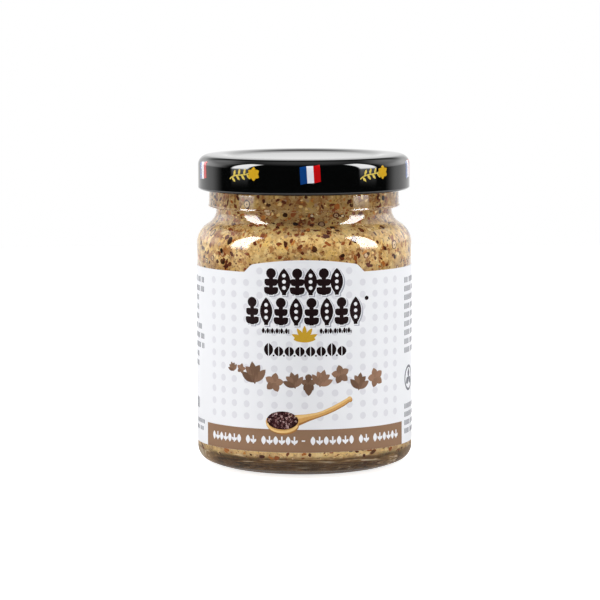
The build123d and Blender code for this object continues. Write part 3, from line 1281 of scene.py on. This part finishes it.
class MUSTARDJAR_OT_grains(bpy.types.Operator):
    """Lay seeds, bran, hulls and specks against the glass; the pale hulls also stand for painted
    glints on the wet paste.
    """

    bl_idname = "mustard_jar.grains"
    bl_label = "Mustard Grains"

    def execute(self, context):
        settings = context.scene.mustard_jar
        filling = settings.filling
        trail = Trail(inner_skin(settings.glass, 0.0, FILL_LEVEL))
        turn = math.pi
        seam = SEAM_HALF / BODY_RADIUS
        foot_end = trail.distance_to(PAPER_FOOT + UNDER_PAPER)
        wing = trail.distance_to(settings.label.wing_top - UNDER_PAPER)
        slope = trail.distance_to(NECK_GRAINS)
        zones = (
            # start and end along the wall, lowest and highest turn, density
            (wing, slope, -turn, turn, 1.0),
            (slope, trail.distance_to(GRAIN_TOP), -turn, turn, 1.6),
            (trail.distance_to(GRAIN_FOOT), foot_end, -turn, turn, 1.0),
            (foot_end, wing, turn - seam, turn + seam, 1.0),
        )
        dice = random.Random(filling.random_seed)

        def scatter():
            """An empty lot of grains."""
            return Scatter(trail, zones, dice)

        flakes = (
            # piece, kind, number, spread of the widths and its power, slimmest, fullest, reach
            ("bran_flakes", "bran", filling.bran, 1.3, 2.2, 0.4, 0.85, 0.09),
            # pale hulls, and also painted glints on the wet paste
            ("pale_hulls_and_glints", "pale_hull_and_glint", filling.hulls, 0.8, 1.6, 0.5, 0.9, 0.08),
        )
        for name, kind, dense, spread, power, slim, full, reach in flakes:
            lot = scatter()
            for spot in lot.spots(dense):
                wide = (0.3 + spread * dice.random() ** power) * MM
                tall = wide * dice.uniform(slim, full)
                lot.flake(spot, wide, tall, dice.uniform(reach, reach + 0.04) * MM, dice.random())
            lot.done(name, kind)

        specks = scatter()
        for spot in specks.spots(filling.specks):
            wide = dice.uniform(0.2, 0.5) * MM
            specks.seed(spot, wide, wide * dice.uniform(0.6, 1.0), 0.13 * MM, dice.random(), 1)
        specks.done("dark_specks", "dark_speck")

        rims, flesh, whole = scatter(), scatter(), scatter()
        for spot in rims.spots(filling.rings):
            wide = dice.uniform(0.9, 2.2) * MM
            tall = wide * dice.uniform(0.75, 1.0)
            rims.flake(spot, wide, tall, 0.14 * MM, dice.random(), 0.1, 14)
            inner = wide * dice.uniform(0.6, 0.76)
            flesh.flake(spot, inner, inner * 0.9, 0.16 * MM, dice.random(), 0.1, 12)
            core = wide * dice.uniform(0.28, 0.45)
            if dice.random() < 0.85:
                whole.seed(spot, core, core * 0.8, 0.18 * MM, dice.random(), 2, 0.0)
        rims.done("cut_hulls", "cut_hull")
        flesh.done("cut_seeds", "cut_seed")
        for spot in whole.spots(filling.seeds):
            wide = filling.seed_size * dice.uniform(0.62, 1.0)
            whole.seed(spot, wide, wide * dice.uniform(0.75, 1.0), 0.17 * MM, dice.random(), 3)
        whole.done("dark_seeds", "dark_seed", 0.35)
        return {"FINISHED"}


def cap_top(cap, inset):
    """Half section of the cap's top and corner, from the axis outwards, moved in by inset."""
    lean = 2 * math.atan2(cap.panel_drop, cap.panel_slope)
    step = cap.panel_slope / (2 * math.sin(lean))
    reach = CAP_RADIUS - cap.crest_radius - cap.corner_radius * (1 - math.sin(cap.crown_turn))
    crown = reach / math.sin(cap.crown_turn)
    level = CREST - cap.panel_drop - inset
    pen = Pen(0.0, level)
    pen.to(cap.crest_radius - cap.panel_slope, level)
    pen.arc(step + inset, lean)
    pen.arc(step - inset, -lean)
    pen.arc(crown - inset, -cap.crown_turn)
    pen.arc(cap.corner_radius - inset, cap.crown_turn - QUARTER)
    return pen


SEAL_SIDE = 2.2 * MM        # from the cap's outside in to the seal
SEAL_TOP = 0.4 * MM         # from the crest down to the seal
SEAL_SLOPE = 1.2 * MM       # run of the slope at the seal's inner edge


class MUSTARDJAR_OT_cap(bpy.types.Operator):
    """Press the twist-off cap and its seal"""

    bl_idname = "mustard_jar.cap"
    bl_label = "Twist-off Cap"

    def execute(self, context):
        settings = context.scene.mustard_jar
        cap, glass = settings.cap, settings.glass
        pen = cap_top(cap, 0.0)
        hem_inner = CAP_RADIUS - cap.hem_thickness
        pen.to(CAP_RADIUS, CAP_FOOT + cap.hem_round)
        pen.arc(cap.hem_round, -QUARTER)
        pen.to(hem_inner + cap.hem_round, CAP_FOOT)
        pen.arc(cap.hem_round, -QUARTER)
        pen.to(hem_inner, CAP_FOOT + cap.hem_height)
        pen.to(CAP_RADIUS - cap.sheet, CAP_FOOT + cap.hem_height)
        outline = pen.points + cap_top(cap, cap.sheet).points[::-1]
        piece("cap", turned(outline), lacquer_finish(cap), "lacquered_tinplate", ("lid",))
        start = glass.neck_radius - WALL + glass.rim_round - cap.seal_inset
        end, top = CAP_RADIUS - SEAL_SIDE, CREST - SEAL_TOP
        seal = [(start, RIM), (end, RIM), (end, top), (start + SEAL_SLOPE, top), (start, RIM)]
        compound = ink_finish("sealing_compound", linear(226, 214, 190), 0.5)
        piece("seal", turned(seal), compound, "lacquered_tinplate")
        return {"FINISHED"}


FLAG_TURNS = (-145.7, -71.2, 3.3, 77.8, 152.3)
SPRIG_TURNS = (-108.4, -33.9, 40.6, 115.0, 183.3)
# Heights of the cuts that let the prints bend over the cap's corner.
CORNER_ROWS = [(72.2 + 0.2 * i) * MM for i in range(12)]


class MUSTARDJAR_OT_cap_print(bpy.types.Operator):
    """Print small flags and sprigs round the cap"""

    bl_idname = "mustard_jar.cap_print"
    bl_label = "Cap Print"

    def execute(self, context):
        cap = context.scene.mustard_jar.cap
        skin = Trail(cap_top(cap, 0.0).points[::-1])

        def radius_at(height):
            """Radius of the cap's outside, which is upright under its corner."""
            if height <= skin.points[0][1]:
                return CAP_RADIUS
            return skin.at(skin.distance_to(height))[0]

        press = Press(CAP_RADIUS, radius_at, cap.ink, "lacquered_tinplate", 0.5 * MM, CORNER_ROWS)
        per_degree = CAP_RADIUS / MM * math.radians(1)
        inks = (("blue", cap.flag_blue), ("white", cap.flag_white), ("red", cap.flag_red))
        for part, (name, shade) in enumerate(inks):
            stripes = [flag_stripe(turn * per_degree, part) for turn in FLAG_TURNS]
            enamel = ink_finish(f"{name}_enamel", shade, 0.3, 0.05, 1.0)
            press.print(f"flag_{name}", stripes, 2, enamel)
        leaves, blooms = [], []
        for turn in SPRIG_TURNS:
            x = turn * per_degree
            leaves += cap_sprig(x)
            blooms += blossom(x + 2.75, 71.75, 3.3, 6)
        pale = ink_finish("pale_gold_enamel", cap.pale_gold, 0.3, 0.08, 1.0)
        press.print("cap_leaves", leaves, 2, pale)
        press.print("cap_blossoms", blooms, 3, ink_finish("gold_enamel", cap.gold, 0.3, 0.08, 1.0))
        return {"FINISHED"}


LABEL_STRIPS = 240          # flat strips that the paper is bent in
ARCH_STEPS = 24             # straight steps of the tab's arched edge
PRINT_SEED = 3              # another number lays the drawn seeds and side rows another way


class MUSTARDJAR_OT_label(bpy.types.Operator):
    """Cut the paper label and lay it round the body"""

    bl_idname = "mustard_jar.label"
    bl_label = "Paper Label"

    def execute(self, context):
        label = context.scene.mustard_jar.label
        half = (math.pi - math.asin(label.seam / 2 / PAPER_RADIUS)) * PAPER_RADIUS
        foot = PAPER_RADIUS * label.tab_foot
        corner = PAPER_RADIUS * label.tab_corner
        reach = PAPER_RADIUS * math.sin(label.tab_corner)
        rise = TAB_PEAK - label.wing_top - label.tab_corner_rise
        arch_radius = (reach**2 + rise**2) / (2 * rise)
        edge = [(-half, PAPER_FOOT), (half, PAPER_FOOT)]
        edge += [(half, label.wing_top), (foot, label.wing_top)]
        for i in range(ARCH_STEPS + 1):
            turn = label.tab_corner * (1 - 2 * i / ARCH_STEPS)
            drop = arch_radius - math.sqrt(arch_radius**2 - (PAPER_RADIUS * math.sin(turn)) ** 2)
            edge.append((PAPER_RADIUS * turn, TAB_PEAK - drop))
        edge += [(-foot, label.wing_top), (-half, label.wing_top)]
        bm = bmesh.new()
        verts = [bm.verts.new((x, y, 0.0)) for x, y in edge]
        bm.faces.new(verts)
        raised = [vert for vert in verts if vert.co.y > label.wing_top]
        corners = [vert for vert in raised if abs(abs(vert.co.x) - corner) < 1e-6]
        bmesh.ops.bevel(
            bm, geom=corners, offset=label.tab_round, segments=4, profile=0.5,
            affect="VERTICES", material=-1,
        )
        cut(bm, (1, 0, 0), [(2 * i / LABEL_STRIPS - 1) * half for i in range(1, LABEL_STRIPS)])
        depth = PAPER_RADIUS - BODY_RADIUS + label.sheet_reach
        wrap(bm, PAPER_RADIUS, paper_skin, depth, 0.0)
        piece("label_sheet", bm, paper_finish(label), "label_paper", ("label",))
        return {"FINISHED"}


class MUSTARDJAR_OT_label_print(bpy.types.Operator):
    """Print the label: dots, band, plants, spoon and fine rows"""

    bl_idname = "mustard_jar.label_print"
    bl_label = "Label Print"

    def execute(self, context):
        label = context.scene.mustard_jar.label
        dice = random.Random(PRINT_SEED)
        press = Press(PAPER_RADIUS, paper_skin, label.ink, "label_paper", 0.9 * MM)
        half = label.panel_half / MM
        band = bar(-half, PAPER_FOOT / MM + 0.01, half, label.band_top / MM)
        white = ink_finish("white_ink", label.paper, mottle=0.02)
        dark = ink_finish("dark_ink", label.dark)
        brown = [(i, tuple(c * part for c in label.taupe)) for i, part in enumerate((0.62, 1.6))]
        seed_ink = grain_finish("seed_ink", DRAWN_SEED_TONES, 0.45, 0.3)
        shade = [moved(shape, 0.34, -0.24) for shape in frieze(0.2)]
        under, wood, edge = spoon_shapes()
        heap = spoon_seeds(dice)
        sides = side_columns(dice) + side_rings()
        prints = (
            # piece, shapes, layer, ink
            ("dot_print", dot_grid(label), 1, ink_finish("dot_ink", label.dots, mottle=0.02)),
            ("band_print", [band], 1, ink_finish("band_ink", label.band, mottle=0.05)),
            ("shade_print", shade, 2, ink_finish("shade_ink", label.shade)),
            ("keyline_print", frieze(0.22), 3, white),
            ("frieze_print", frieze() + [oval(15.5, 42.5, 1.1, 1.0)], 4, dark),
            ("frieze_seeds", frieze_seeds(), 5, white),
            ("middle_print", seed_row() + fine_row(), 3, dark),
            ("gold_print", gold_fan(), 3, ink_finish("gold_ink", label.gold, mottle=0.12)),
            ("loose_print", loose_row(), 3, grain_finish("taupe_ink", brown, 0.45, 0.1)),
            ("spoon_under", under, 2, ink_finish("spoon_shadow_ink", linear(168, 116, 66))),
            ("spoon_wood", wood, 3, ink_finish("wood_ink", label.wood_dark, mottle=0.15)),
            ("spoon_edge", edge, 4, ink_finish("light_wood_ink", label.wood_light, mottle=0.1)),
            ("spoon_heap", [(oval(*HEAP), 0.1)], 4, seed_ink),
            ("spoon_seeds_1", heap[0::3], 5, seed_ink),
            ("spoon_seeds_2", heap[1::3], 6, seed_ink),
            ("spoon_seeds_3", heap[2::3], 7, seed_ink),
            ("band_chain", band_chain(), 2, white),
            ("side_rows", sides, 1, ink_finish("grey_ink", label.grey)),
        )
        for row in prints:
            press.print(*row)
        return {"FINISHED"}


FLOOR_RADIUS = 0.6
FLOOR_DROP = 0.02 * MM      # keeps the floor clear of the jar's bearing ring
LAMP_AIM = Vector((0.0, 0.0, 0.05))


class MUSTARDJAR_OT_stage(bpy.types.Operator):
    """Set the floor, the light and the camera"""

    bl_idname = "mustard_jar.stage"
    bl_label = "Stage"

    def execute(self, context):
        scene = context.scene
        stage = scene.mustard_jar.stage
        self.lay_floor(scene, stage)
        self.light_room(scene, stage)
        self.hang_lamps(scene, stage)
        data = bpy.data.cameras.new("camera")
        data.lens = stage.lens
        data.sensor_width = 36.0
        data.clip_end = 20.0
        camera = bpy.data.objects.new("camera", data)
        stand = (-stage.camera_side, -stage.camera_distance, stage.camera_height)
        look = Matrix.Rotation(QUARTER - stage.camera_pitch, 4, "X")
        roll = Matrix.Rotation(-stage.camera_roll, 4, "Z")
        camera.matrix_world = Matrix.Translation(stand) @ look @ roll
        scene.collection.objects.link(camera)
        scene.camera = camera
        scene.view_settings.view_transform = "Standard"
        return {"FINISHED"}

    @staticmethod
    def lay_floor(scene, stage):
        """A pale floor with painted shade round the jar: gloss and glass see it darker and brown
        close to the jar.
        """
        finish = new_finish("white_floor")
        camera, gloss, through = finish.rays("Camera", "Glossy", "Transmission")
        across, along, _ = finish.axes(finish.place())
        painted_shade_mask = finish.fade(finish.reach(across, along), 60 * MM, 200 * MM)
        pale = finish.shader("BsdfDiffuse", Color=stage.floor)
        painted_shade = finish.shader("BsdfDiffuse", Color=linear(118, 88, 62))
        # painted shade: gloss and glass see the floor close to the jar darker, in brown, and with
        # less glow
        matt = finish.mix(gloss * painted_shade_mask * 0.85 + through * 0.9, pale, painted_shade)
        seen = camera + gloss * (1.2 - painted_shade_mask * 0.95)
        glow = finish.shader("Emission", Color=(1, 1, 1), Strength=seen * stage.floor_glow)
        both = finish.signal("ShaderNodeAddShader", 0, None, {0: matt, 1: glow})
        bm = bmesh.new()
        bmesh.ops.create_circle(bm, cap_ends=True, segments=64, radius=FLOOR_RADIUS)
        bmesh.ops.translate(bm, vec=(0, 0, -FLOOR_DROP), verts=bm.verts[:])
        mesh = bpy.data.meshes.new("floor")
        bm.to_mesh(mesh)
        bm.free()
        mesh.materials.append(finish.surface(both))
        floor = bpy.data.objects.new("floor", mesh)
        scene.collection.objects.link(floor)
        floor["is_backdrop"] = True

    @staticmethod
    def light_room(scene, stage):
        """White to the camera, even light on the object, and a room of panels in gloss.

        A direction is its turn from the front and its rise over the horizon, in degrees.
        """
        scene.world = bpy.data.worlds.new("room")
        finish = Finish(scene.world)
        across, along, height = finish.axes(finish.signal("ShaderNodeTexCoord", "Generated"))
        turn = finish.maths("ABSOLUTE", finish.maths("ARCTAN2", across, along * -1.0)) * DEGREES
        rise = finish.maths("ARCSINE", height) * DEGREES
        backdrop = finish.spread(turn, 98, 120) * finish.fade(rise, 16, 30)
        lamp = finish.window(turn, 61, 65, 83, 87) * finish.window(rise, -5.5, 12, 50, 57)
        ceiling = finish.spread(rise, 45, 80)
        rim = finish.window(turn, 88, 108, 135, 165) * finish.window(rise, 0, 8, 40, 60)
        room = backdrop * stage.mirrored_backdrop + lamp * stage.mirrored_lamp
        room = room + stage.mirrored_room
        over = ceiling * stage.mirrored_ceiling + rim * stage.mirrored_rim
        camera, gloss, through = finish.rays("Camera", "Glossy", "Transmission")
        mirror = finish.maths("MAXIMUM", gloss, through)
        unseen = mirror * room + gloss * over + (1 - mirror) * stage.ambient
        strength = camera + (1 - camera) * unseen
        finish.surface(finish.shader("Background", Color=(1, 1, 1), Strength=strength))

    @staticmethod
    def hang_lamps(scene, stage):
        """Soft rectangular lamps that face the jar and aren't seen in gloss."""
        lamps = (
            # name, turn from the front, distance, height, width, tallness, power
            ("left_lamp", -stage.side_turn, 0.60, 0.25, 0.20, 0.60, stage.side_power),
            ("right_lamp", stage.side_turn, 0.60, 0.25, 0.20, 0.60, stage.side_power * 0.9),
            ("left_key", -stage.key_turn, 0.38, 0.70, 0.30, 0.40, stage.key_power),
            ("right_key", stage.key_turn, 0.38, 0.70, 0.30, 0.40, stage.key_power * 0.94),
            ("top_lamp", 0.0, 0.30, 0.76, 0.50, 0.40, stage.top_power),
        )
        for name, turn, distance, height, wide, tall, power in lamps:
            data = bpy.data.lights.new(name, "AREA")
            data.shape = "RECTANGLE"
            data.size, data.size_y = wide, tall
            data.energy = power
            lamp = bpy.data.objects.new(name, data)
            place = Vector((math.sin(turn) * distance, -math.cos(turn) * distance, height))
            lamp.location = place
            lamp.rotation_euler = (LAMP_AIM - place).to_track_quat("-Z", "Y").to_euler()
            lamp.visible_glossy = False
            scene.collection.objects.link(lamp)


OPERATORS = (
    MUSTARDJAR_OT_glass,
    MUSTARDJAR_OT_filling,
    MUSTARDJAR_OT_grains,
    MUSTARDJAR_OT_cap,
    MUSTARDJAR_OT_cap_print,
    MUSTARDJAR_OT_label,
    MUSTARDJAR_OT_label_print,
    MUSTARDJAR_OT_stage,
)


class MUSTARDJAR_PT_panel(bpy.types.Panel):
    """Lists the steps that make the jar"""

    bl_idname = "MUSTARDJAR_PT_panel"
    bl_label = "Mustard Jar"
    bl_space_type = "VIEW_3D"
    bl_region_type = "UI"
    bl_category = "Mustard Jar"

    def draw(self, context):
        for operator in OPERATORS:
            self.layout.operator(operator.bl_idname)


CLASSES = (
    GlassSettings,
    FillingSettings,
    CapSettings,
    LabelSettings,
    StageSettings,
    MustardJarSettings,
    *OPERATORS,
    MUSTARDJAR_PT_panel,
)


def register():
    """Registers the classes and hangs the settings on the scene."""
    for made in CLASSES:
        bpy.utils.register_class(made)
    bpy.types.Scene.mustard_jar = PointerProperty(type=MustardJarSettings)


def unregister():
    """Takes the settings and the classes away again."""
    del bpy.types.Scene.mustard_jar
    for made in reversed(CLASSES):
        bpy.utils.unregister_class(made)


def main():
    """Makes every piece in order."""
    register()
    bpy.ops.mustard_jar.glass()
    bpy.ops.mustard_jar.filling()
    bpy.ops.mustard_jar.grains()
    bpy.ops.mustard_jar.cap()
    bpy.ops.mustard_jar.cap_print()
    bpy.ops.mustard_jar.label()
    bpy.ops.mustard_jar.label_print()
    bpy.ops.mustard_jar.stage()
    boxes = {"cad": CAD_BOX, "visual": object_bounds()}
    {name: [list(corner) for corner in box] for name, box in boxes.items()}


if __name__ == "__main__":
    main()
